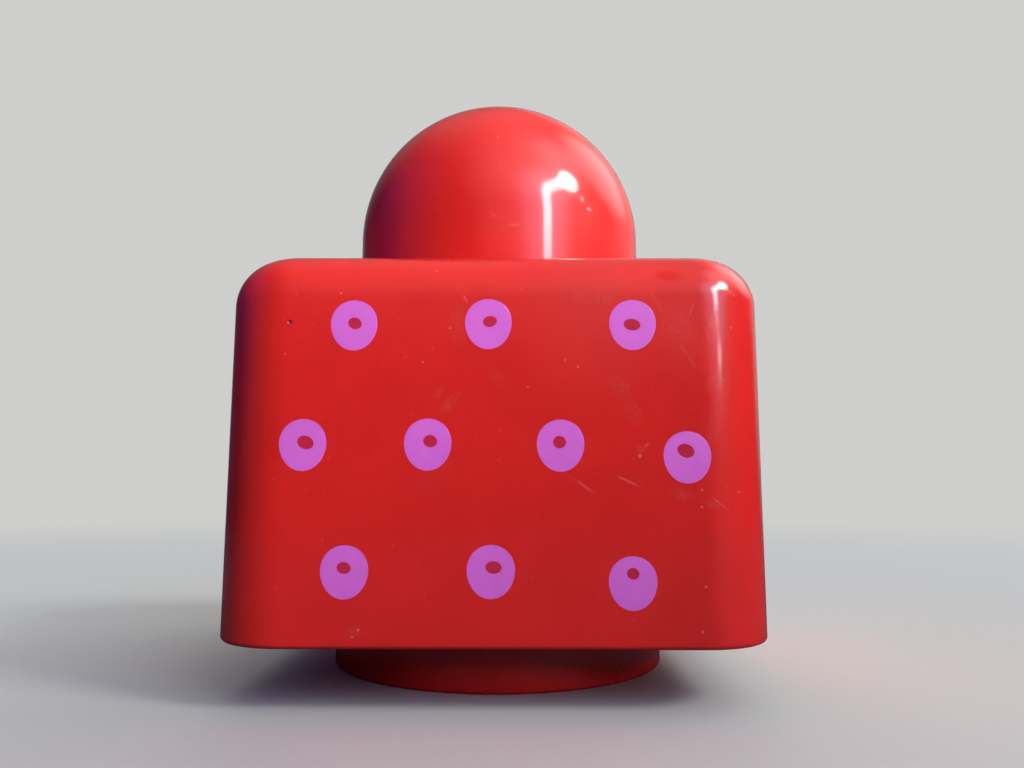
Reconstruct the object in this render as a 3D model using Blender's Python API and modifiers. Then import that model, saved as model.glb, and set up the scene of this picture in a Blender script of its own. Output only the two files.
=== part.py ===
"""Toy building brick: a hollow red block with a round dome on top and a round collar below.

The brick is two plastic mouldings, welded together:
  shell  the four walls, the top and the hollow dome, open below
  base   the plate that closes the shell, with the collar, the socket cup for the
         dome of another brick, and a lip that centres the plate in the shell

Metres, +Z up. The collar's rim stands on Z = 0, the dome points up, and the
printed front faces -Y. The brick is centred on the Z axis.
"""

import math

import bmesh
import bpy
from mathutils import Matrix

# Outside of the body
BODY_WIDTH = 0.0474
BODY_HEIGHT = 0.0334
UPRIGHT_EDGE_RADIUS = 0.0064
TOP_EDGE_RADIUS = 0.0044
BOTTOM_EDGE_RADIUS = 0.0004

# Dome: a short cylinder under a hemisphere
DOME_RADIUS = 0.0156
DOME_STRAIGHT = 0.0070

# Collar, which drops over the dome of the brick below until its rim meets that brick's top
COLLAR_DROP = 0.0050
SOCKET_WALL = 0.00135
RIM_EDGE_RADIUS = 0.0003
SOCKET_CORNER_RADIUS = 0.0020

# Walls of the two mouldings
SHELL_WALL = 0.0020
PLATE_THICKNESS = 0.0020
STEP_DEPTH = 0.0010
LIP_WALL = 0.0014
LIP_HEIGHT = 0.0025

# Clearances
SOCKET_CLEARANCE = 0.00025
SOCKET_END_CLEARANCE = 0.0008
WELD_GAP = 0.0003

# How finely the round shapes are divided
TURN_STEPS = 72
DOME_STEPS = 12
EDGE_STEPS = 6
SMALL_EDGE_STEPS = 2
SHARP_ANGLE = math.radians(30)

# Points nearer to each other than this are one point
MERGE_DISTANCE = 0.00001

# How far a cutter reaches past the face that it opens, and an added shape into what it joins
OVERSHOOT = 0.0010

# Heights that follow from the sizes above
BODY_BOTTOM = COLLAR_DROP
BODY_TOP = BODY_BOTTOM + BODY_HEIGHT
DOME_SHOULDER = BODY_TOP + DOME_STRAIGHT
DOME_HEIGHT = DOME_STRAIGHT + DOME_RADIUS
PLATE_TOP = BODY_BOTTOM + PLATE_THICKNESS
SOCKET_TOP = DOME_HEIGHT + SOCKET_END_CLEARANCE

# Radii and half widths that follow
SOCKET_RADIUS = DOME_RADIUS + SOCKET_CLEARANCE
COLLAR_RADIUS = SOCKET_RADIUS + SOCKET_WALL
BODY_HALF = BODY_WIDTH / 2
CAVITY_HALF = BODY_HALF - SHELL_WALL
STEP_HALF = CAVITY_HALF + STEP_DEPTH
PLATE_HALF = STEP_HALF - WELD_GAP
LIP_HALF = CAVITY_HALF - WELD_GAP
LIP_INNER_HALF = LIP_HALF - LIP_WALL


def clear_scene():
    """Remove whatever the open file holds."""
    for obj in list(bpy.data.objects):
        bpy.data.objects.remove(obj, do_unlink=True)


def new_collection(name):
    """Add a collection to the scene."""
    collection = bpy.data.collections.new(name)
    bpy.context.scene.collection.children.link(collection)
    return collection


def red_plastic(name, color, roughness):
    """A glossy moulded plastic, coloured all through."""
    material = bpy.data.materials.new(name)
    material.use_nodes = True
    shader = material.node_tree.nodes["Principled BSDF"]
    shader.inputs["Base Color"].default_value = (*color, 1)
    shader.inputs["Roughness"].default_value = roughness
    shader.inputs["Metallic"].default_value = 0
    return material


def shade(mesh):
    """Shade a mesh smooth, with its sharp edges kept."""
    mesh.shade_smooth()
    mesh.set_sharp_from_angle(angle=SHARP_ANGLE)


def corner_radius(half):
    """Radius of the upright edges of a square set inside or on the body's outline."""
    return UPRIGHT_EDGE_RADIUS - (BODY_HALF - half)


def bevel(bm, edges, radius, segments):
    """Round the given edges of a bmesh."""
    bmesh.ops.bevel(
        bm,
        geom=edges,
        offset=radius,
        offset_type="OFFSET",
        segments=segments,
        profile=0.5,
        affect="EDGES",
        clamp_overlap=False,
    )


def edges_at_height(bm, height):
    """The edges that lie level at a height."""
    return [e for e in bm.edges if all(abs(v.co.z - height) < MERGE_DISTANCE for v in e.verts)]


def rounded_block(name, half, low, high, top_radius=0, bottom_radius=0):
    """A square block with rounded upright edges and, where asked, a rounded top or bottom."""
    bm = bmesh.new()
    size = Matrix.Diagonal((2 * half, 2 * half, high - low, 1))
    place = Matrix.Translation((0, 0, (low + high) / 2))
    bmesh.ops.create_cube(bm, size=1, matrix=place @ size)
    upright = [e for e in bm.edges if abs(e.verts[0].co.z - e.verts[1].co.z) > MERGE_DISTANCE]
    bevel(bm, upright, corner_radius(half), EDGE_STEPS)
    if top_radius:
        bevel(bm, edges_at_height(bm, high), top_radius, EDGE_STEPS)
    if bottom_radius:
        bevel(bm, edges_at_height(bm, low), bottom_radius, SMALL_EDGE_STEPS)
    bmesh.ops.recalc_face_normals(bm, faces=bm.faces)
    mesh = bpy.data.meshes.new(name)
    bm.to_mesh(mesh)
    bm.free()
    shade(mesh)
    return bpy.data.objects.new(name, mesh)


def arc(center_x, center_z, radius, start, end, steps):
    """Points of an arc in the XZ plane, between two angles in degrees from +X."""
    points = []
    for i in range(steps + 1):
        angle = math.radians(start + (end - start) * i / steps)
        points.append((center_x + radius * math.cos(angle), center_z + radius * math.sin(angle)))
    return points


def turned(name, profile):
    """A profile of (radius, height) points turned about Z by a Screw modifier.

    The profile starts on the axis, runs down its outer side and ends on the axis.
    """
    edges = [(i, i + 1) for i in range(len(profile) - 1)]
    mesh = bpy.data.meshes.new(name)
    mesh.from_pydata([(x, 0, z) for x, z in profile], edges, [])
    obj = bpy.data.objects.new(name, mesh)
    screw = obj.modifiers.new("Turn", "SCREW")
    screw.steps = TURN_STEPS
    screw.render_steps = TURN_STEPS
    screw.use_merge_vertices = True
    screw.merge_threshold = MERGE_DISTANCE
    screw.use_smooth_shade = True
    return obj


def dome_profile(radius, shoulder, foot):
    """Profile of a hemisphere on a cylinder, from the pole down to the axis at the foot."""
    return arc(0, shoulder, radius, 90, 0, DOME_STEPS) + [(radius, foot), (0, foot)]


def socket_profile():
    """Profile of the collar and cup: a tube, open below, with a flat end on top."""
    cup_outer_corner = SOCKET_CORNER_RADIUS + SOCKET_WALL
    outside = [(0, SOCKET_TOP + SOCKET_WALL)]
    outside += arc(
        COLLAR_RADIUS - cup_outer_corner,
        SOCKET_TOP + SOCKET_WALL - cup_outer_corner,
        cup_outer_corner,
        90,
        0,
        EDGE_STEPS,
    )
    outer_rim = COLLAR_RADIUS - RIM_EDGE_RADIUS
    inner_rim = SOCKET_RADIUS + RIM_EDGE_RADIUS
    rim = arc(outer_rim, RIM_EDGE_RADIUS, RIM_EDGE_RADIUS, 0, -90, SMALL_EDGE_STEPS)
    rim += arc(inner_rim, RIM_EDGE_RADIUS, RIM_EDGE_RADIUS, -90, -180, SMALL_EDGE_STEPS)
    inside = arc(
        SOCKET_RADIUS - SOCKET_CORNER_RADIUS,
        SOCKET_TOP - SOCKET_CORNER_RADIUS,
        SOCKET_CORNER_RADIUS,
        0,
        90,
        EDGE_STEPS,
    )
    inside += [(0, SOCKET_TOP)]
    return outside + rim + inside


def guide(obj, collection):
    """Keep a shape that only cuts or joins another one as a hidden wire guide."""
    collection.objects.link(obj)
    obj.hide_render = True
    obj.display_type = "WIRE"
    return obj


def boolean(obj, operation, other):
    """Cut or join an object with a guide."""
    modifier = obj.modifiers.new(f"{operation.title()} {other.name}", "BOOLEAN")
    modifier.operation = operation
    modifier.solver = "EXACT"
    modifier.object = other


def make_shell(guides):
    """The walls, the top and the dome in one hollow moulding, open below."""
    shell = rounded_block(
        "shell",
        BODY_HALF,
        BODY_BOTTOM,
        BODY_TOP,
        top_radius=TOP_EDGE_RADIUS,
        bottom_radius=BOTTOM_EDGE_RADIUS,
    )
    dome = turned("dome_outside", dome_profile(DOME_RADIUS, DOME_SHOULDER, BODY_TOP - OVERSHOOT))
    cavity = rounded_block(
        "body_cavity",
        CAVITY_HALF,
        BODY_BOTTOM - OVERSHOOT,
        BODY_TOP - SHELL_WALL,
        top_radius=TOP_EDGE_RADIUS - SHELL_WALL,
    )
    dome_cavity = turned(
        "dome_cavity",
        dome_profile(DOME_RADIUS - SHELL_WALL, DOME_SHOULDER, BODY_TOP - SHELL_WALL - OVERSHOOT),
    )
    step = rounded_block("plate_step", STEP_HALF, BODY_BOTTOM - OVERSHOOT, PLATE_TOP + WELD_GAP)
    boolean(shell, "UNION", guide(dome, guides))
    for cutter in (cavity, dome_cavity, step):
        boolean(shell, "DIFFERENCE", guide(cutter, guides))
    return shell


def make_base(guides):
    """The closing plate with its collar, socket cup and locating lip."""
    base = rounded_block("base", PLATE_HALF, BODY_BOTTOM, PLATE_TOP)
    lip = rounded_block("locating_lip", LIP_HALF, PLATE_TOP - OVERSHOOT, PLATE_TOP + LIP_HEIGHT)
    lip_inside = rounded_block(
        "lip_inside",
        LIP_INNER_HALF,
        PLATE_TOP - 2 * OVERSHOOT,
        PLATE_TOP + LIP_HEIGHT + OVERSHOOT,
    )
    middle_of_wall = SOCKET_RADIUS + SOCKET_WALL / 2
    plate_hole = turned(
        "plate_hole",
        [
            (0, PLATE_TOP + OVERSHOOT),
            (middle_of_wall, PLATE_TOP + OVERSHOOT),
            (middle_of_wall, BODY_BOTTOM - OVERSHOOT),
            (0, BODY_BOTTOM - OVERSHOOT),
        ],
    )
    socket = turned("collar_and_cup", socket_profile())
    boolean(lip, "DIFFERENCE", guide(lip_inside, guides))
    boolean(base, "UNION", guide(lip, guides))
    boolean(base, "DIFFERENCE", guide(plate_hole, guides))
    boolean(base, "UNION", guide(socket, guides))
    return base


def main():
    clear_scene()
    parts = new_collection("toy_building_brick")
    guides = new_collection("construction_guides")
    brick = bpy.data.objects.new("brick", None)
    parts.objects.link(brick)
    shell_red = red_plastic("shell_red_plastic", (0.58, 0.014, 0.012), 0.16)
    base_red = red_plastic("base_red_plastic", (0.50, 0.010, 0.012), 0.22)
    for obj, material in ((make_shell(guides), shell_red), (make_base(guides), base_red)):
        parts.objects.link(obj)
        obj.data.materials.append(material)
        obj.parent = brick


main()
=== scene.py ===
"""Looks of the toy building brick: glossy red plastic, a dome, a collar and ten printed spots.

Metres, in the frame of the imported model: +Z up, the printed front faces -Y, the collar's rim
stands on Z = 0 and the Z axis runs through the middle of the dome.
"""

import math

import bpy
from mathutils import Matrix, Vector


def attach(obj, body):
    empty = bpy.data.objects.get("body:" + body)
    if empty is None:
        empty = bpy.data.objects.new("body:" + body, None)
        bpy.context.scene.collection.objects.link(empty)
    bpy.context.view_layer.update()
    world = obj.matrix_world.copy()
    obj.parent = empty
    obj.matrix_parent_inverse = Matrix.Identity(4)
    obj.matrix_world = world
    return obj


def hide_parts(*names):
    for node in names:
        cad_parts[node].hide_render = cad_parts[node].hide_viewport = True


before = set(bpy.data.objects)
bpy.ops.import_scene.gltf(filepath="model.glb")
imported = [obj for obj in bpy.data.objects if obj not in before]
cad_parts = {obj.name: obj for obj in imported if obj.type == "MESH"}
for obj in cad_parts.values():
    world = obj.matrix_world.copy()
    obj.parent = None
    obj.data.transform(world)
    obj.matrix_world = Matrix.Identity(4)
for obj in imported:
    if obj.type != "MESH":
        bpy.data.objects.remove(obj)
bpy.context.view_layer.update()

MM = 0.001

# Outside of the shell. The ink stands proud of the front, so all four walls stand that much
# inside the CAD model's
INK_PROUD = 0.02 * MM
BODY_HALF = 23.7 * MM - INK_PROUD
BODY_BOTTOM = 5.0 * MM
BODY_TOP = 38.4 * MM
UPRIGHT_EDGE = 6.4 * MM
TOP_EDGE = 4.4 * MM
BOTTOM_EDGE = 0.4 * MM
DOME_RADIUS = 15.6 * MM
DOME_SHOULDER = 45.4 * MM
DOME_FOOT_FILLET = 0.45 * MM

# Inside of the shell
CAVITY_HALF = 21.7 * MM
CAVITY_TOP = 36.4 * MM
CAVITY_EDGE = 2.4 * MM
DOME_CAVITY_RADIUS = 13.6 * MM
STEP_HALF = 22.55 * MM
STEP_TOP = 7.3 * MM

# Base: plate, locating lip, collar and socket cup
PLATE_HALF = 22.45 * MM
PLATE_TOP = 7.0 * MM
LIP_HALF = 21.4 * MM
LIP_INNER_HALF = 20.0 * MM
LIP_TOP = 9.5 * MM
COLLAR_RADIUS = 17.2 * MM
SOCKET_RADIUS = 15.85 * MM
SOCKET_CEILING = 23.4 * MM
SOCKET_CORNER = 2.0 * MM
CUP_TOP = 24.75 * MM
RIM_EDGE = 0.3 * MM
SMALL_EDGE = 0.15 * MM
GATE_RADIUS = 1.3 * MM
GATE_DEPTH = 0.34 * MM

# How far the shading of a wall leans in at its ends
WALL_SINK = math.radians(2.0)

# How far it leans up where the top edge starts, and how far below that it stands upright again
EDGE_EASE = math.radians(2.4)
EASE_DROP = 4.0 * MM

# A ring has this many points: a quarter of it is half a straight side, a corner and half a side
SIDE_STEPS = 24
CORNER_STEPS = 24
RING = 4 * (SIDE_STEPS + CORNER_STEPS)

# How finely the round stretches of the profiles are divided
DOME_STEPS = 48
TOP_EDGE_STEPS = 24
INSIDE_STEPS = 12
ROUND_STEPS = 8
EDGE_STEPS = 6
WELD_EDGE_STEPS = 4
GATE_STEPS = 3
SMALL_EDGE_STEPS = 2

# A ring smaller than this is one point on the axis
ON_AXIS = 1e-9

# Printed spots. Each is a circle in mm, a little taller than wide and with its narrow end down
SPOT_RADIUS = 2.05
SPOT_STRETCH = 0.095
SPOT_EGG = 0.028
SPOT_STEPS = 96

# Centre of each spot in mm, then its hole's centre, half width, half height and tilt in degrees
SPOTS = (
    ((-11.72, 31.47), (-11.66, 31.61, 0.59, 0.49, -20)),
    ((-0.41, 31.59), (-0.28, 31.78, 0.60, 0.47, 13)),
    ((11.72, 31.52), (11.67, 31.52, 0.71, 0.50, -7)),
    ((-15.71, 21.41), (-15.48, 21.58, 0.70, 0.54, -20)),
    ((-5.37, 21.45), (-5.17, 21.70, 0.58, 0.50, -15)),
    ((5.60, 21.38), (5.52, 21.63, 0.54, 0.52, 0)),
    ((16.03, 20.42), (15.91, 20.93, 0.72, 0.56, -20)),
    ((-11.98, 11.12), (-12.02, 11.43, 0.58, 0.47, -12)),
    ((-0.10, 11.17), (0.11, 11.49, 0.66, 0.50, -6)),
    ((11.38, 10.28), (11.40, 11.02, 0.51, 0.46, -18)),
)

# How far the ink reaches into the wall, and how far in mm its rim slopes in
INK_SUNK = 0.01 * MM
INK_SLOPE = 0.03

# The front of the walls in mm, where most marks and the bottoms of the spots' holes lie
FRONT = -23.68

# Marks on the shell, in mm: place and radius of small pale specks
SPECKS = (
    (-5.86, FRONT, 28.32, 0.09),
    (7.10, FRONT, 27.91, 0.10),
    (6.02, FRONT, 28.50, 0.08),
    (-4.87, -23.00, 36.35, 0.10),
    (-12.92, -23.67, 34.24, 0.09),
    (-3.64, FRONT, 31.22, 0.10),
    (-17.46, FRONT, 29.00, 0.08),
    (2.92, FRONT, 26.22, 0.08),
    (20.17, -22.99, 31.38, 0.08),
    (17.24, FRONT, 10.00, 0.11),
    (16.89, FRONT, 6.48, 0.12),
    (-10.72, FRONT, 6.57, 0.12),
    (-11.19, FRONT, 6.03, 0.10),
    (12.13, FRONT, 20.50, 0.15),
    (17.15, FRONT, 17.74, 0.11),
    (17.10, FRONT, 16.36, 0.10),
    (20.38, -22.88, 17.58, 0.09),
    (0.09, -13.79, 52.70, 0.12),
)
# The two ends of a scratch, its half width and how strong it is
SCRATCHES = (
    ((-2.57, FRONT, 34.16), (-2.14, FRONT, 33.38), 0.15, 1.0),
    ((6.77, FRONT, 18.62), (8.39, FRONT, 17.40), 0.20, 0.9),
    ((10.05, FRONT, 18.95), (12.17, FRONT, 17.97), 0.19, 1.0),
    ((12.55, FRONT, 21.24), (12.90, FRONT, 21.57), 0.20, 0.9),
    ((17.95, -23.64, 17.17), (19.30, -23.35, 16.12), 0.16, 0.8),
    ((15.60, FRONT, 29.90), (17.10, FRONT, 27.70), 0.16, 0.5),
    ((13.40, FRONT, 34.30), (13.70, FRONT, 33.40), 0.16, 0.5),
    ((16.90, FRONT, 33.40), (16.50, FRONT, 32.20), 0.18, 0.6),
    ((13.90, FRONT, 33.60), (14.30, FRONT, 32.50), 0.18, 0.4),
    ((17.90, -23.64, 31.20), (18.20, -23.60, 29.90), 0.18, 0.5),
    ((19.16, -23.40, 27.03), (19.51, -23.28, 26.71), 0.16, 0.7),
    ((1.15, -15.55, 43.00), (2.30, -15.43, 43.03), 0.26, 0.7),
    ((-0.65, -15.59, 44.15), (0.10, -15.60, 43.85), 0.34, 0.5),
)
# Rubbed places: centre, half length, half width, tilt in degrees and how pale
SMUDGES = (
    ((-4.65, FRONT, 25.63), 0.95, 0.42, 50, 0.75),
    ((-3.56, FRONT, 24.87), 1.35, 0.60, 50, 0.80),
    ((-2.85, FRONT, 31.30), 2.40, 1.10, 90, 0.60),
    ((8.40, FRONT, 33.90), 3.20, 0.80, 0, 0.55),
    ((10.60, FRONT, 26.30), 1.50, 1.10, -40, 0.60),
    ((11.60, FRONT, 24.20), 1.60, 0.90, -60, 0.60),
    ((12.20, FRONT, 21.00), 0.80, 0.60, 60, 0.60),
    ((15.50, FRONT, 17.40), 1.40, 0.70, -15, 0.75),
    ((17.70, -23.66, 16.80), 1.50, 0.60, -30, 0.70),
    ((15.60, FRONT, 31.20), 2.40, 1.60, -60, 0.55),
    ((18.60, -23.50, 31.80), 1.20, 0.60, 80, 0.80),
    ((18.40, -23.55, 26.60), 1.10, 0.80, 60, 0.80),
    ((18.20, -23.60, 22.80), 1.90, 0.70, 80, 0.60),
    ((0.30, FRONT, 27.00), 1.30, 0.60, -40, 0.40),
    ((-5.10, FRONT, 18.50), 2.60, 1.40, 30, 0.25),
    ((-11.00, FRONT, 6.40), 1.20, 0.70, 10, 0.55),
)
# Paler patches, partly dull wear and partly painted glow round the highlights: centre, radius and
# how pale
HAZE_AND_PAINTED_GLOW = (
    ((2.60, -15.20, 43.50), 6.5, 0.40),
    ((3.60, -14.60, 49.00), 8.5, 0.62),
    ((8.60, -12.80, 44.50), 6.5, 0.52),
    ((12.20, -9.40, 43.00), 5.5, 0.62),
    ((9.00, FRONT, 31.50), 9.0, 0.32),
    ((16.00, -23.60, 31.00), 6.0, 0.30),
)
# A place on the top edge that has kept its full colour, written as a rubbed place is. Its deeper red
# is partly unworn plastic and partly painted: it stands in for a weaker reflection there
CLEAN_AND_DIMMED_PLACE = ((14.90, -23.29, 35.86), 1.40, 0.80, -5, 0.9)
PIT = (-17.15, FRONT, 31.73)
PIT_RADIUS = 0.16
# Radius of the place round a hole's centre that takes a tinge from the ink
HOLE_TINGE_RADIUS = 0.9


# Shapes of the pieces

def in_scene(name, data):
    """A new object of the scene, with the given mesh, lamp or camera as its data."""
    obj = bpy.data.objects.new(name, data)
    bpy.context.scene.collection.objects.link(obj)
    return obj


def ring_point(kind, size, index):
    """Point and outward direction in plan, for a point of a ring of a given size.

    The directions on a square lean in a little, as on a moulded wall that has sunk in its middle.
    """
    quarter = SIDE_STEPS + CORNER_STEPS
    turn, k = divmod(index, quarter)
    if kind == "circle":
        angle = math.tau * index / RING
        out = Vector((math.cos(angle), math.sin(angle)))
        return out * size, out
    radius = UPRIGHT_EDGE - (BODY_HALF - size)
    straight = size - radius
    half = SIDE_STEPS // 2
    if k <= half:
        point = Vector((size, straight * k / half))
        angle = -WALL_SINK * k / half
    elif k <= half + CORNER_STEPS:
        angle = math.pi / 2 * (k - half) / CORNER_STEPS
        point = Vector((straight + radius * math.cos(angle), straight + radius * math.sin(angle)))
        angle -= WALL_SINK * math.cos(2 * angle)
    else:
        point = Vector((straight * (quarter - k) / half, size))
        angle = math.pi / 2 + WALL_SINK * (quarter - k) / half
    out = Vector((math.cos(angle), math.sin(angle)))
    rotation = Matrix.Rotation(turn * math.pi / 2, 2)
    return rotation @ point, rotation @ out


def roll(kind, x, z, radius, start, end, steps, hollow=False):
    """Rings round an arc of the profile. A ring is its kind, size, height and its normal's tilt."""
    reach = -radius if hollow else radius
    rings = []
    for i in range(steps + 1):
        tilt = math.radians(start + (end - start) * i / steps)
        rings.append((kind, x + reach * math.cos(tilt), z + reach * math.sin(tilt), tilt))
    return rings


def lofted(name, rings):
    """A closed solid through rings, from the pole on its top to the pole of its hollow."""
    vertices = []
    normals = []
    rows = []
    for kind, size, height, tilt in rings:
        if size < ON_AXIS:
            rows.append([len(vertices)] * RING)
            vertices.append((0, 0, height))
            normals.append((0, 0, math.copysign(1, math.sin(tilt))))
            continue
        rows.append(range(len(vertices), len(vertices) + RING))
        for i in range(RING):
            point, out = ring_point(kind, size, i)
            vertices.append((point.x, point.y, height))
            normals.append((out.x * math.cos(tilt), out.y * math.cos(tilt), math.sin(tilt)))
    faces = []
    for upper, lower in zip(rows, rows[1:]):
        for i in range(RING):
            j = (i + 1) % RING
            corners = (upper[i], lower[i], lower[j], upper[j])
            faces.append(tuple(dict.fromkeys(corners)))
    mesh = bpy.data.meshes.new(name)
    mesh.from_pydata(vertices, [], faces)
    mesh.shade_smooth()
    mesh.normals_split_custom_set_from_vertices(normals)
    return in_scene(name, mesh)


def shell_rings():
    """The dome, the top, the walls, and back up the inside."""
    edge = SMALL_EDGE
    small = SMALL_EDGE_STEPS
    rings = roll("circle", 0, DOME_SHOULDER, DOME_RADIUS, 90, 0, DOME_STEPS)
    foot = DOME_FOOT_FILLET
    rings += roll("circle", DOME_RADIUS + foot, BODY_TOP + foot, foot, 0, 90, ROUND_STEPS, True)
    top = BODY_TOP - TOP_EDGE
    for kind, size, height, tilt in roll(
        "square", BODY_HALF - TOP_EDGE, top, TOP_EDGE, 90, 0, TOP_EDGE_STEPS
    ):
        rings.append((kind, size, height, tilt + EDGE_EASE * math.cos(tilt) ** 2))
    rings.append(("square", BODY_HALF, top - EASE_DROP, 0))
    low = BOTTOM_EDGE
    rings += roll("square", BODY_HALF - low, BODY_BOTTOM + low, low, 0, -90, EDGE_STEPS)
    rings += roll("square", STEP_HALF + edge, BODY_BOTTOM + edge, edge, -90, -180, WELD_EDGE_STEPS)
    rings += roll("square", STEP_HALF - edge, STEP_TOP - edge, edge, -180, -90, small, True)
    rings += roll("square", CAVITY_HALF + edge, STEP_TOP + edge, edge, -90, -180, small)
    high = CAVITY_EDGE
    rings += roll("square", CAVITY_HALF - high, CAVITY_TOP - high, high, -180, -90, EDGE_STEPS, True)
    rings += roll("circle", DOME_CAVITY_RADIUS + edge, CAVITY_TOP + edge, edge, -90, -180, small)
    rings += roll("circle", 0, DOME_SHOULDER, DOME_CAVITY_RADIUS, -180, -90, INSIDE_STEPS, True)
    return rings


def base_rings():
    """The cup, the plate with its lip, the collar, and back up the socket."""
    edge = SMALL_EDGE
    small = SMALL_EDGE_STEPS
    rim = RIM_EDGE
    corner = SOCKET_CORNER
    cup = corner + COLLAR_RADIUS - SOCKET_RADIUS
    rings = [("circle", 0, CUP_TOP, math.pi / 2)]
    rings += roll("circle", COLLAR_RADIUS - cup, CUP_TOP - cup, cup, 90, 0, ROUND_STEPS)
    rings += roll("circle", COLLAR_RADIUS + edge, PLATE_TOP + edge, edge, 0, 90, small, True)
    rings += roll("square", LIP_INNER_HALF - edge, PLATE_TOP + edge, edge, 90, 180, small, True)
    rings += roll("square", LIP_INNER_HALF + edge, LIP_TOP - edge, edge, 180, 90, small)
    rings += roll("square", LIP_HALF - edge, LIP_TOP - edge, edge, 90, 0, small)
    rings += roll("square", LIP_HALF + edge, PLATE_TOP + edge, edge, 0, 90, small, True)
    rings += roll("square", PLATE_HALF - edge, PLATE_TOP - edge, edge, 90, 0, small)
    rings += roll("square", PLATE_HALF - edge, BODY_BOTTOM + edge, edge, 0, -90, WELD_EDGE_STEPS)
    rings += roll("circle", COLLAR_RADIUS + rim, BODY_BOTTOM - rim, rim, -90, 0, EDGE_STEPS, True)
    rings += roll("circle", COLLAR_RADIUS - rim, rim, rim, 0, -90, ROUND_STEPS)
    rings += roll("circle", SOCKET_RADIUS + rim, rim, rim, -90, -180, ROUND_STEPS)
    ceiling = SOCKET_CEILING
    rings += roll(
        "circle", SOCKET_RADIUS - corner, ceiling - corner, corner, -180, -90, INSIDE_STEPS, True
    )
    gate = GATE_RADIUS
    rings += roll("circle", gate + edge, ceiling - GATE_DEPTH + edge, edge, -90, -180, GATE_STEPS)
    rings += roll("circle", gate - edge, ceiling - edge, edge, -180, -90, GATE_STEPS, True)
    rings += [("circle", 0, ceiling, -math.pi / 2)]
    return rings


def spot_outline(step, centre, inset):
    """Point of a spot's egg-shaped outline, in mm on the front."""
    x, z = centre
    angle = math.tau * step / SPOT_STEPS
    radius = SPOT_RADIUS - inset
    radius += SPOT_STRETCH * math.cos(2 * (angle - math.pi / 2))
    radius += SPOT_EGG * math.cos(3 * (angle - math.pi / 6))
    return x + radius * math.cos(angle), z + radius * math.sin(angle)


def hole_outline(step, hole, inset):
    """Point of the hole's outline, in mm on the front."""
    x, z, half_width, half_height, tilt = hole
    angle = math.tau * step / SPOT_STEPS
    lean = math.radians(tilt)
    along = (half_width + inset) * math.cos(angle - lean)
    across = (half_height + inset) * math.sin(angle - lean)
    return (
        x + along * math.cos(lean) - across * math.sin(lean),
        z + along * math.sin(lean) + across * math.cos(lean),
    )


def printed_spots():
    """Ten thin rings of ink on the front, each a closed solid."""
    vertices = []
    faces = []
    sunk = -BODY_HALF + INK_SUNK
    middle = -BODY_HALF - INK_PROUD / 2
    proud = -BODY_HALF - INK_PROUD
    for centre, hole in SPOTS:
        rows = []
        layers = (
            (spot_outline, centre, 0, sunk),
            (spot_outline, centre, 0, middle),
            (spot_outline, centre, INK_SLOPE, proud),
            (hole_outline, hole, INK_SLOPE, proud),
            (hole_outline, hole, 0, middle),
            (hole_outline, hole, 0, sunk),
        )
        for outline, form, inset, y in layers:
            rows.append(range(len(vertices), len(vertices) + SPOT_STEPS))
            for step in range(SPOT_STEPS):
                x, z = outline(step, form, inset)
                vertices.append((x * MM, y, z * MM))
        for near, far in zip(rows, rows[1:] + rows[:1]):
            for i in range(SPOT_STEPS):
                j = (i + 1) % SPOT_STEPS
                faces.append((near[i], near[j], far[j], far[i]))
    mesh = bpy.data.meshes.new("printed_spots")
    mesh.from_pydata(vertices, [], faces)
    return in_scene("printed_spots", mesh)


# Materials

# The colour sockets of a Mix node, whose names are those of its other sockets too
MIX_A = 6
MIX_B = 7
MIX_RESULT = 2

SHELL_RED = (0.70, 0.018, 0.015)
SHELL_ROUGHNESS = 0.10
# The base is the same red plastic as the shell. Its darker red is painted shade, as the base sits
# under the body
BASE_SHADED_RED = (0.62, 0.010, 0.011)
BASE_ROUGHNESS = 0.14
COAT_WEIGHT = 0.20
COAT_ROUGHNESS = 0.36

# The red is mottled between these shares of its colour
DEEP_SHARE = 0.975
BRIGHT_SHARE = 1.03

# Colours of worn plastic, of the holes in the spots, of the clean place, whose deeper red is partly
# a painted weaker reflection, and of the pit, near black as painted shade in its hollow
WORN_RED = (0.80, 0.30, 0.27, 1)
HOLE_RED = (0.57, 0.020, 0.055, 1)
CLEAN_AND_DIMMED_RED = (0.66, 0.001, 0.001, 1)
# The pit's near-black colour is painted shade in its hollow
PIT_SHADE_RED = (0.03, 0.004, 0.004, 1)
PIT_SHADE_SHARE = 0.7

# Strength of the random wear: smears, fine scratches and long ones
SMEAR_STRENGTH = 0.35
FINE_STRENGTH = 0.55
LONG_STRENGTH = 0.7

# On the front, where the photo's own marks are, a share of that is left. It is whole again from
# the start of the sides on. Both places are in mm along Y
FRONT_SHARE = 0.40
FRONT_END = -23.0
SIDE_START = -21.0

# How far grit breaks up the rubbed places
GRIT_SHARE = 0.75

# How much of the worn colour shows in each kind of wear
RUBBED_PALE = 0.13
SCRATCH_PALE = 0.15
SPECK_PALE = 0.30
POWDER_PALE = 0.20
# The haze's paleness also paints the glow round the highlights
HAZE_AND_GLOW_PALE = 0.13

# How much rougher the wear is
RUBBED_ROUGHNESS = 0.05
SCRATCH_ROUGHNESS = 0.25

# Heights of the relief, in mm
WAVE_HEIGHT = 0.030
SKIN_HEIGHT = 0.00045
SCRATCH_HEIGHT = -0.006
PIT_HEIGHT = -0.08

# Ink: its colour between two, pinholes that let the red through, roughness and heights in mm
INK_DEEP = (0.69, 0.138, 0.630, 1)
INK_BRIGHT = (0.76, 0.170, 0.695, 1)
PINHOLE_RED = (0.45, 0.02, 0.10, 1)
PINHOLE_SHARE = 0.8
INK_ROUGHNESS = 0.26
GRAIN_ROUGHNESS = 0.12
GRAIN_HEIGHT = 0.0012
PINHOLE_HEIGHT = -0.01


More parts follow.
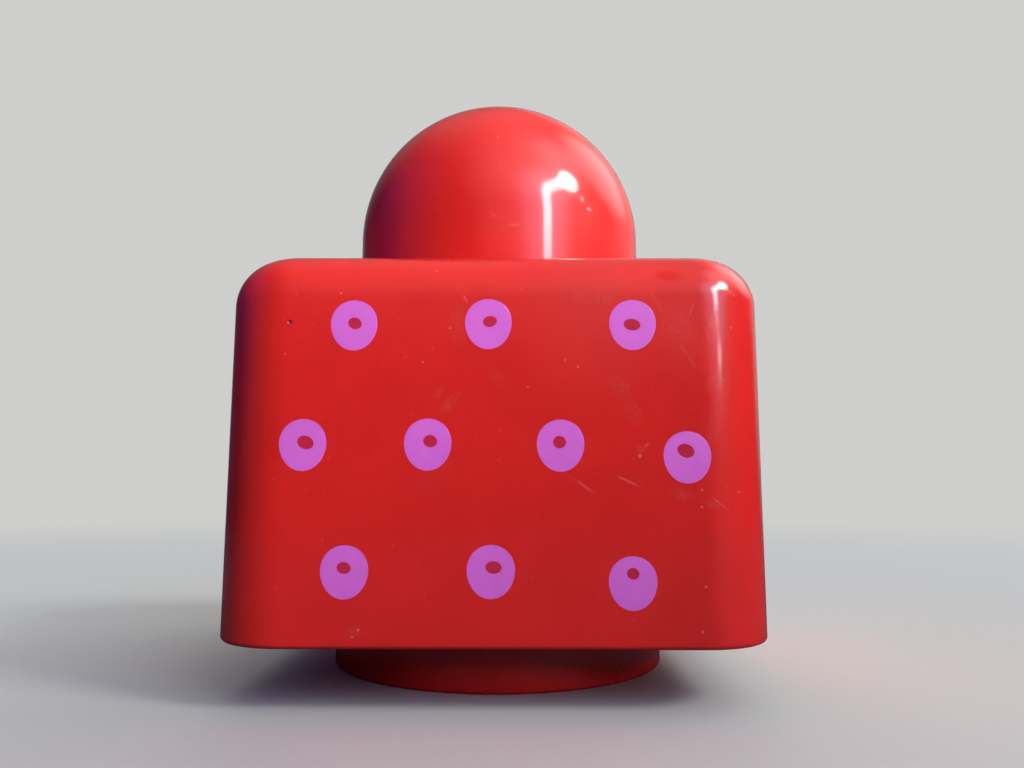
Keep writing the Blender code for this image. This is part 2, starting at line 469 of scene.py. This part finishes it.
class Tree:
    """Adds nodes to a node tree. An input is a number, a colour, a vector or another socket."""

    def __init__(self, node_tree):
        self.node_tree = node_tree

    def add(self, kind, inputs=None, **settings):
        node = self.node_tree.nodes.new(kind)
        for name, value in settings.items():
            setattr(node, name, value)
        for name, value in (inputs or {}).items():
            self.feed(node.inputs[name], value)
        return node

    def feed(self, socket, value):
        if isinstance(value, bpy.types.NodeSocket):
            self.node_tree.links.new(value, socket)
        else:
            socket.default_value = value

    def math(self, operation, *values, clamp=False):
        inputs = dict(enumerate(values))
        node = self.add("ShaderNodeMath", inputs, operation=operation, use_clamp=clamp)
        return node.outputs[0]

    def vector(self, operation, *values, output=0):
        inputs = dict(enumerate(values))
        node = self.add("ShaderNodeVectorMath", inputs, operation=operation)
        return node.outputs[output]

    def ramp(self, value, low, high, to_low=0.0, to_high=1.0):
        """A smooth step of value, from to_low at low to to_high at high."""
        inputs = {
            "Value": value,
            "From Min": low,
            "From Max": high,
            "To Min": to_low,
            "To Max": to_high,
        }
        node = self.add("ShaderNodeMapRange", inputs, interpolation_type="SMOOTHSTEP")
        return node.outputs["Result"]

    def mix(self, share, first, second, **settings):
        """The first colour, with a share of the second mixed in, or blended as the settings say."""
        node = self.add("ShaderNodeMix", data_type="RGBA", **settings)
        self.feed(node.inputs["Factor"], share)
        self.feed(node.inputs[MIX_A], first)
        self.feed(node.inputs[MIX_B], second)
        return node.outputs[MIX_RESULT]

    def noise(self, place, scale, detail=2.0, roughness=0.5, distortion=0.0):
        inputs = {
            "Vector": place,
            "Scale": scale,
            "Detail": detail,
            "Roughness": roughness,
            "Distortion": distortion,
        }
        return self.add("ShaderNodeTexNoise", inputs).outputs["Fac"]

    def brightest(self, values):
        total = values[0]
        for value in values[1:]:
            total = self.math("MAXIMUM", total, value)
        return total

    def place_in_mm(self):
        """Where on its piece a point lies, in mm."""
        place = self.add("ShaderNodeTexCoord").outputs["Object"]
        return self.vector("MULTIPLY", place, (1 / MM, 1 / MM, 1 / MM))

    def relief(self, shader, height):
        """Tilt the shading by a height in mm."""
        bump = self.add("ShaderNodeBump", {"Height": height, "Distance": MM, "Strength": 1.0})
        self.feed(shader.inputs["Normal"], bump.outputs["Normal"])


def new_material(name):
    """A new material, its node tree and its main shader."""
    material = bpy.data.materials.new(name)
    material.use_nodes = True
    tree = Tree(material.node_tree)
    return material, tree, material.node_tree.nodes["Principled BSDF"]


def dot(tree, place, centre, radius, edge=0.5):
    """1 within a small ball round a place given in mm, 0 outside."""
    far = tree.vector("DISTANCE", place, centre, output="Value")
    return tree.ramp(far, radius * (1 + edge), radius * (1 - edge))


def soft_ball(tree, place, centre, radius, strength):
    """The strength at a place given in mm, falling to 0 at a radius from it."""
    far = tree.vector("DISTANCE", place, centre, output="Value")
    return tree.ramp(far, radius, 0.0, to_high=strength)


def line(tree, place, start, end, half_width, strength):
    """The strength along the line between two places given in mm, fainter at its ends."""
    start = Vector(start)
    run = Vector(end) - start
    away = tree.vector("SUBTRACT", place, tuple(start))
    along = tree.vector("DOT_PRODUCT", away, tuple(run / run.length_squared), output="Value")
    along = tree.math("MULTIPLY", along, 1.0, clamp=True)
    inputs = {0: tuple(run), "Scale": along}
    scaled = tree.add("ShaderNodeVectorMath", inputs, operation="SCALE").outputs[0]
    off = tree.vector("DISTANCE", away, scaled, output="Value")
    from_middle = tree.math("ABSOLUTE", tree.math("SUBTRACT", along, 0.5))
    taper = tree.ramp(from_middle, 0.5, 0.2, to_low=0.3)
    return tree.math("MULTIPLY", tree.ramp(off, half_width, 0.0, to_high=strength), taper)


def cells_with_marks(tree, place, spacing, share):
    """Cells of a size in mm, and a value that is over 0 in a share of them."""
    inputs = {"Vector": place, "Scale": 1 / spacing, "Randomness": 1.0}
    cells = tree.add("ShaderNodeTexVoronoi", inputs)
    inputs = {"Vector": cells.outputs["Position"]}
    chosen = tree.add("ShaderNodeTexWhiteNoise", inputs, noise_dimensions="3D")
    return cells, tree.ramp(chosen.outputs["Value"], 1 - share, 1 - share * 0.5)


def hairlines(tree, place, spacing, half_width, length, share):
    """Short straight scratches, one in each of a share of the cells, in its own direction."""
    cells, shown = cells_with_marks(tree, place, spacing, share)
    away = tree.vector("SUBTRACT", place, cells.outputs["Position"])
    lean = tree.vector("SUBTRACT", cells.outputs["Color"], (0.5, 0.5, 0.5))
    lean = tree.vector("NORMALIZE", lean)
    off = tree.math("ABSOLUTE", tree.vector("DOT_PRODUCT", away, lean, output="Value"))
    reach = tree.vector("LENGTH", away, output="Value")
    narrow = tree.ramp(off, half_width, half_width * 0.3)
    short = tree.ramp(reach, length, length * 0.6)
    return tree.math("MULTIPLY", tree.math("MULTIPLY", narrow, short), shown)


def dust(tree, place, spacing, radius, share):
    """Small round specks, one in each of a share of the cells."""
    cells, shown = cells_with_marks(tree, place, spacing, share)
    far = tree.math("MULTIPLY", cells.outputs["Distance"], spacing)
    return tree.math("MULTIPLY", tree.ramp(far, radius, radius * 0.5), shown)


def smudge(tree, place, centre, half_length, half_width, tilt, strength):
    """A soft oval patch, tilted as seen from the front, with its strength in the middle.

    It reaches 1 mm along Y to either side of its centre.
    """
    away = tree.vector("SUBTRACT", place, centre)
    turn = math.radians(tilt)
    cosine = math.cos(turn)
    sine = math.sin(turn)
    lengthwise = (cosine / half_length, 0, sine / half_length)
    crosswise = (-sine / half_width, 0, cosine / half_width)
    along = tree.vector("DOT_PRODUCT", away, lengthwise, output="Value")
    across = tree.vector("DOT_PRODUCT", away, crosswise, output="Value")
    depth = tree.vector("DOT_PRODUCT", away, (0, 1, 0), output="Value")
    square = tree.math("MULTIPLY", across, across)
    square = tree.math("MULTIPLY_ADD", along, along, square)
    square = tree.math("MULTIPLY_ADD", depth, depth, square)
    return tree.ramp(square, 1.0, 0.0, to_high=strength)


def random_wear(tree, place):
    """Scratches, specks and rubbed places at random."""
    fine = hairlines(tree, place, spacing=3.4, half_width=0.030, length=1.5, share=0.45)
    fine = tree.math("MULTIPLY", fine, FINE_STRENGTH)
    long = hairlines(tree, place, spacing=8.0, half_width=0.040, length=3.4, share=0.35)
    long = tree.math("MULTIPLY", long, LONG_STRENGTH)
    scratches = tree.math("MAXIMUM", fine, long)
    specks = dust(tree, place, spacing=2.6, radius=0.075, share=0.16)
    smear = tree.noise(place, scale=0.32, detail=4.0, roughness=0.6, distortion=0.8)
    rubbed = tree.math("MULTIPLY", tree.ramp(smear, low=0.52, high=0.78), SMEAR_STRENGTH)
    return scratches, specks, rubbed


def photo_wear(tree, place, wear):
    """The random wear, fainter on the front, with the marks that the photo shows."""
    front = tree.add("ShaderNodeSeparateXYZ", {"Vector": place}).outputs["Y"]
    elsewhere = tree.ramp(front, FRONT_END, SIDE_START, to_low=FRONT_SHARE)
    scratches, specks, rubbed = [tree.math("MULTIPLY", kind, elsewhere) for kind in wear]
    own_scratches = [line(tree, place, *scratch) for scratch in SCRATCHES]
    own_specks = [dot(tree, place, (x, y, z), radius) for x, y, z, radius in SPECKS]
    own_smudges = [smudge(tree, place, *patch) for patch in SMUDGES]
    scratches = tree.brightest([scratches, *own_scratches])
    specks = tree.brightest([specks, *own_specks])
    rubbed = tree.brightest([rubbed, *own_smudges])
    return scratches, specks, rubbed


def red_plastic(name, color, own_roughness, marked):
    """Glossy red plastic with faint waves, a fine skin, rubbed places, scratches and specks."""
    material, tree, shader = new_material(name)
    place = tree.place_in_mm()

    waves = tree.noise(place, scale=0.11, detail=1.0)
    skin = tree.noise(place, scale=2.6, detail=2.0)
    mottle = tree.noise(place, scale=0.16, detail=3.0, roughness=0.55)
    grit = tree.noise(place, scale=2.6, detail=4.0, roughness=0.7)
    grit = tree.ramp(grit, low=0.46, high=0.64)
    powder = dust(tree, place, spacing=0.80, radius=0.085, share=0.55)
    powder = tree.math("MULTIPLY", powder, tree.ramp(mottle, low=0.40, high=0.56))
    wear = random_wear(tree, place)
    if marked:
        wear = photo_wear(tree, place, wear)
        pit = dot(tree, place, PIT, PIT_RADIUS)
    scratches, specks, rubbed = wear
    gritty = tree.math("MULTIPLY_ADD", grit, GRIT_SHARE, 1 - GRIT_SHARE)
    rubbed = tree.math("MULTIPLY", rubbed, gritty)

    deep = tuple(c * DEEP_SHARE for c in color) + (1,)
    bright = tuple(c * BRIGHT_SHARE for c in color) + (1,)
    red = tree.mix(tree.ramp(mottle, low=0.35, high=0.65), deep, bright)
    pale = tree.math("MULTIPLY", rubbed, RUBBED_PALE)
    pale = tree.math("MULTIPLY_ADD", scratches, SCRATCH_PALE, pale)
    pale = tree.math("MAXIMUM", pale, tree.math("MULTIPLY", specks, SPECK_PALE))
    pale = tree.math("MULTIPLY_ADD", powder, POWDER_PALE, pale)
    if marked:
        # Paler patches, partly dull wear and partly painted glow round the highlights
        haze_and_glow = tree.brightest([soft_ball(tree, place, *patch) for patch in HAZE_AND_PAINTED_GLOW])
        pale = tree.math("MULTIPLY_ADD", haze_and_glow, HAZE_AND_GLOW_PALE, pale)
    red = tree.mix(pale, red, WORN_RED)
    if marked:
        centres = [(hole[0], FRONT, hole[1]) for _, hole in SPOTS]
        holes = [dot(tree, place, at, HOLE_TINGE_RADIUS, edge=0.2) for at in centres]
        red = tree.mix(tree.brightest(holes), red, HOLE_RED)
        # The clean place's deeper red is partly painted: it stands in for a weaker reflection on the
        # top edge
        red = tree.mix(smudge(tree, place, *CLEAN_AND_DIMMED_PLACE), red, CLEAN_AND_DIMMED_RED)
        # Painted shade: the pit is darkened to near black
        red = tree.mix(tree.math("MULTIPLY", pit, PIT_SHADE_SHARE), red, PIT_SHADE_RED)
    tree.feed(shader.inputs["Base Color"], red)

    tree.feed(shader.inputs["Coat Weight"], COAT_WEIGHT)
    tree.feed(shader.inputs["Coat Roughness"], COAT_ROUGHNESS)
    broken = tree.math("MAXIMUM", scratches, specks)
    rough = tree.math("MULTIPLY_ADD", rubbed, RUBBED_ROUGHNESS, own_roughness)
    rough = tree.math("MULTIPLY_ADD", broken, SCRATCH_ROUGHNESS, rough)
    tree.feed(shader.inputs["Roughness"], rough)

    height = tree.math("MULTIPLY", waves, WAVE_HEIGHT)
    height = tree.math("MULTIPLY_ADD", skin, SKIN_HEIGHT, height)
    height = tree.math("MULTIPLY_ADD", scratches, SCRATCH_HEIGHT, height)
    if marked:
        height = tree.math("MULTIPLY_ADD", pit, PIT_HEIGHT, height)
    tree.relief(shader, height)
    return material


def spot_ink():
    """Satin mauve ink with a slightly uneven layer and a few pinholes."""
    material, tree, shader = new_material("mauve_ink")
    place = tree.place_in_mm()
    layer = tree.noise(place, scale=0.9, detail=3.0, roughness=0.6)
    grain = tree.noise(place, scale=7.0, detail=2.0, roughness=0.5)
    pinholes = dust(tree, place, spacing=0.9, radius=0.05, share=0.10)
    ink = tree.mix(layer, INK_DEEP, INK_BRIGHT)
    ink = tree.mix(tree.math("MULTIPLY", pinholes, PINHOLE_SHARE), ink, PINHOLE_RED)
    tree.feed(shader.inputs["Base Color"], ink)
    rough = tree.math("MULTIPLY_ADD", grain, GRAIN_ROUGHNESS, INK_ROUGHNESS)
    tree.feed(shader.inputs["Roughness"], rough)
    height = tree.math("MULTIPLY", grain, GRAIN_HEIGHT)
    height = tree.math("MULTIPLY_ADD", pinholes, PINHOLE_HEIGHT, height)
    tree.relief(shader, height)
    return material


# Stage: lamps, world, floor and camera

# What the lamps aim at, their tint and how far from there they stand
AIM = Vector((0, 0, 0.040))
LAMP_COLOR = (1.0, 0.99, 1.0)
LAMP_DISTANCE = 2.5

# The key stands a little behind its own highlight. With both at one place, the round part of the
# highlight went missing from the dome
KEY_DISTANCE = 2.6

# Highlights that only the gloss shows: name, azimuth, elevation, width and height in degrees,
# radiance, turn in degrees and shape
HIGHLIGHTS = (
    ("key_round", 65, 38.3, 15.5, 15.5, 17, 0, "ELLIPSE"),
    ("key_taper", 50, 35.5, 20, 8, 16, 20, "RECTANGLE"),
    ("strip_high", 39.3, 25, 6, 13.6, 19, 0, "RECTANGLE"),
    ("strip_middle", 39.3, 16.9, 6, 2.6, 14, 0, "RECTANGLE"),
    ("strip_faint", 41.5, 12.7, 6, 5.7, 0.8, 0, "RECTANGLE"),
    ("strip_low", 42.5, 9.0, 6, 1.7, 9, 0, "RECTANGLE"),
    ("glint_high", 73.2, 27, 3, 3, 11, 0, "ELLIPSE"),
    ("glint_low", 78, 21.2, 3.6, 0.8, 24, 0, "ELLIPSE"),
)

# Boxes with a grid stand close and aim over the brick, so their light falls off down its front.
# Name, azimuth, elevation, height aimed at, half angle of the grid in degrees, radiance
GRIDDED_BOXES = (
    ("grid_high", 44, 33, 0.070, 9, 111),
    ("grid_low", 46, 13, 0.066, 13, 27),
)
GRID_DISTANCE = 0.3
GRID_SIZE = 20.8

# World light: azimuth, elevation, how wide the lobe is in degrees, colour
LOBES = (
    (65, 50, 38, (0.30, 0.30, 0.30)),
    (38, 29, 26, (1.35, 1.35, 2.30)),
    (5, 40, 34, (0.32, 0.32, 0.34)),
    (0, 90, 40, (0.22, 0.22, 0.22)),
    (30, 60, 40, (0.16, 0.16, 0.16)),
    (118, 40, 25, (1.20, 1.20, 1.20)),
    (150, 25, 35, (0.42, 0.42, 0.42)),
    (-60, 30, 40, (0.05, 0.05, 0.05)),
    (-85, 30, 34, (0.06, 0.02, 0.28)),
    (180, 55, 50, (0.16, 0.16, 0.16)),
)
# Lobes that only the gloss shows
GLOSSY_LOBES = (
    (73, 53, 22, (1.2, 1.2, 1.45)),
    (118, 40, 25, (0.75, 0.75, 0.75)),
    (-128, 22, 38, (0.07, 0.01, 0.07)),
)
WORLD_BASE = (0.015, 0.015, 0.02)

# The backdrop as the camera sees it, and as the gloss shows it, round a place behind the brick
BACKDROP = (0.62, 0.62, 0.61, 1)
GLOSSY_BACKDROP = (0.30, 0.30, 0.295, 1)
BACKDROP_PLACE = (180, 5, 40)

FLOOR_RADIUS = 3.0
FLOOR_STEPS = 64
FADE_START = 0.12
FADE_END = 0.45
FLOOR_ROUGHNESS = 0.9
FLOOR_SPECULAR = 0.1

# The floor's colour for the camera, in the gloss and in the light that it returns
FLOOR_SEEN = (0.84, 0.865, 0.79, 1)
FLOOR_IN_GLOSS = (0.10, 0.09, 0.11, 1)
FLOOR_RETURNED = (0.24, 0.24, 0.26, 1)

# Camera of the photograph: place, angles in radians, focal length and width of the image in pixels
CAMERA_PLACE = (1.9664 * MM, -89.8155 * MM, 17.6443 * MM)
CAMERA_PITCH = 0.1327
CAMERA_YAW = -0.0057
CAMERA_ROLL = -0.0016
FOCAL_PIXELS = 800.4659
IMAGE_WIDTH = 1024
SENSOR = 36.0
NEAREST_SEEN = 1 * MM


def direction(azimuth, elevation):
    """Direction from the brick: azimuth from -Y towards +X, elevation up, in degrees."""
    turn = math.radians(azimuth)
    rise = math.radians(elevation)
    level = math.cos(rise)
    return Vector((math.sin(turn) * level, -math.cos(turn) * level, math.sin(rise)))


def area_lamp(
    name, azimuth, elevation, width, height, radiance, aim, distance, turn=0, shape="RECTANGLE"
):
    """An area lamp that spans width by height degrees as seen from the place that it aims at."""
    data = bpy.data.lights.new(name, "AREA")
    data.color = LAMP_COLOR
    data.shape = shape
    data.size = 2 * distance * math.tan(math.radians(width / 2))
    data.size_y = 2 * distance * math.tan(math.radians(height / 2))
    area = data.size * data.size_y
    if shape == "ELLIPSE":
        area *= math.pi / 4
    data.energy = radiance * math.pi * area
    lamp = in_scene(name, data)
    away = direction(azimuth, elevation)
    lamp.matrix_world = (
        Matrix.Translation(aim + away * distance)
        @ away.to_track_quat("Z", "Y").to_matrix().to_4x4()
        @ Matrix.Rotation(math.radians(turn), 4, "Z")
    )
    lamp.visible_camera = False
    return lamp


def highlight(name, azimuth, elevation, width, height, radiance, turn, shape):
    """A lamp far from the brick that only reflects in the gloss."""
    lamp = area_lamp(
        name, azimuth, elevation, width, height, radiance, AIM, LAMP_DISTANCE, turn, shape
    )
    lamp.visible_diffuse = False


def gridded_box(name, azimuth, elevation, aim_height, half_angle, radiance, receivers):
    """A close lamp with a grid in front, for the brick alone. Its reflection isn't seen."""
    aim = Vector((0, 0, aim_height))
    lamp = area_lamp(name, azimuth, elevation, GRID_SIZE, GRID_SIZE, radiance, aim, GRID_DISTANCE)
    half = math.radians(half_angle)
    lamp.data.spread = 2 * half
    lamp.data.energy *= (math.tan(half) - half) / math.tan(half)
    lamp.light_linking.receiver_collection = receivers
    lamp.visible_glossy = False


def studio_lamps(brick):
    """The key, its highlight with a tapered end and strip, two glints, and fills without gloss."""
    key = area_lamp(
        "key_light",
        azimuth=65,
        elevation=38.3,
        width=15.5,
        height=15.5,
        radiance=13,
        aim=AIM,
        distance=KEY_DISTANCE,
        shape="ELLIPSE",
    )
    key.visible_glossy = False
    for lamp in HIGHLIGHTS:
        highlight(*lamp)
    receivers = bpy.data.collections.new("lit_by_gridded_boxes")
    for piece in brick:
        receivers.objects.link(piece)
    for lamp in GRIDDED_BOXES:
        gridded_box(*lamp, receivers)
    rear = area_lamp(
        "rear_fill",
        azimuth=178,
        elevation=25,
        width=50,
        height=40,
        radiance=1.4,
        aim=AIM,
        distance=LAMP_DISTANCE,
    )
    rear.visible_glossy = False


def studio_world():
    """A soft uneven light all round. The camera sees a plain pale backdrop instead."""
    world = bpy.data.worlds.new("studio_world")
    bpy.context.scene.world = world
    world.use_nodes = True
    tree = Tree(world.node_tree)
    around = tree.add("ShaderNodeTexCoord").outputs["Generated"]

    def toward(azimuth, elevation, width):
        """1 in one direction, 0 from a width in degrees away from it."""
        middle = tuple(direction(azimuth, elevation))
        near = tree.vector("DOT_PRODUCT", around, middle, output="Value")
        return tree.ramp(near, math.cos(math.radians(width)), 1.0)

    def with_lobe(light, share, color):
        """The light with a share of a colour added."""
        return tree.mix(share, light, (*color, 1), blend_type="ADD", clamp_result=False)

    path = tree.add("ShaderNodeLightPath")
    light = (*WORLD_BASE, 1)
    for *place, color in LOBES:
        light = with_lobe(light, toward(*place), color)
    for *place, color in GLOSSY_LOBES:
        share = tree.math("MULTIPLY", toward(*place), path.outputs["Is Glossy Ray"])
        light = with_lobe(light, share, color)
    behind = tree.math("MULTIPLY", toward(*BACKDROP_PLACE), path.outputs["Is Glossy Ray"])
    light = tree.mix(behind, light, GLOSSY_BACKDROP)
    seen = tree.mix(path.outputs["Is Camera Ray"], light, BACKDROP)
    background = tree.add("ShaderNodeBackground", {"Color": seen, "Strength": 1.0})
    out = world.node_tree.nodes["World Output"]
    tree.feed(out.inputs["Surface"], background.outputs[0])


def studio_floor():
    """A wide pale floor that fades into the backdrop."""
    angles = [math.tau * i / FLOOR_STEPS for i in range(FLOOR_STEPS)]
    rim = [(FLOOR_RADIUS * math.cos(a), FLOOR_RADIUS * math.sin(a), 0) for a in angles]
    mesh = bpy.data.meshes.new("floor")
    mesh.from_pydata(rim, [], [tuple(range(FLOOR_STEPS))])
    floor = in_scene("floor", mesh)
    material, tree, shader = new_material("floor_paper")
    place = tree.add("ShaderNodeTexCoord").outputs["Object"]
    path = tree.add("ShaderNodeLightPath")
    color = tree.mix(path.outputs["Is Glossy Ray"], FLOOR_RETURNED, FLOOR_IN_GLOSS)
    color = tree.mix(path.outputs["Is Camera Ray"], color, FLOOR_SEEN)
    tree.feed(shader.inputs["Base Color"], color)
    tree.feed(shader.inputs["Roughness"], FLOOR_ROUGHNESS)
    tree.feed(shader.inputs["Specular IOR Level"], FLOOR_SPECULAR)
    far = tree.vector("LENGTH", place, output="Value")
    clear = tree.add("ShaderNodeBsdfTransparent")
    fade = tree.ramp(far, FADE_START, FADE_END)
    inputs = {0: fade, 1: shader.outputs[0], 2: clear.outputs[0]}
    blend = tree.add("ShaderNodeMixShader", inputs)
    out = material.node_tree.nodes["Material Output"]
    tree.feed(out.inputs["Surface"], blend.outputs[0])
    floor.data.materials.append(material)
    return floor


def photo_camera():
    """The camera of the photograph."""
    data = bpy.data.cameras.new("camera")
    data.sensor_width = SENSOR
    data.lens = FOCAL_PIXELS / IMAGE_WIDTH * SENSOR
    data.clip_start = NEAREST_SEEN
    camera = in_scene("camera", data)
    turn = Matrix.Rotation(-CAMERA_YAW, 4, "Z")
    turn = turn @ Matrix.Rotation(math.pi / 2 + CAMERA_PITCH, 4, "X")
    turn = turn @ Matrix.Rotation(-CAMERA_ROLL, 4, "Z")
    camera.matrix_world = Matrix.Translation(CAMERA_PLACE) @ turn
    bpy.context.scene.camera = camera


# Everything together

def main():
    shell = lofted("glossy_shell", shell_rings())
    shell_plastic = red_plastic("red_shell_plastic", SHELL_RED, SHELL_ROUGHNESS, marked=True)
    shell.data.materials.append(shell_plastic)
    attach(shell, "root")
    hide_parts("shell")

    base = lofted("collar_base", base_rings())
    # The base's darker red is painted shade
    base_plastic = red_plastic("red_base_plastic", BASE_SHADED_RED, BASE_ROUGHNESS, marked=False)
    base.data.materials.append(base_plastic)
    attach(base, "root")
    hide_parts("base")

    spots = printed_spots()
    spots.data.materials.append(spot_ink())
    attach(spots, "root")

    studio_floor()
    studio_lamps((shell, base, spots))
    studio_world()
    photo_camera()
    bpy.context.scene.view_settings.view_transform = "Standard"


main()
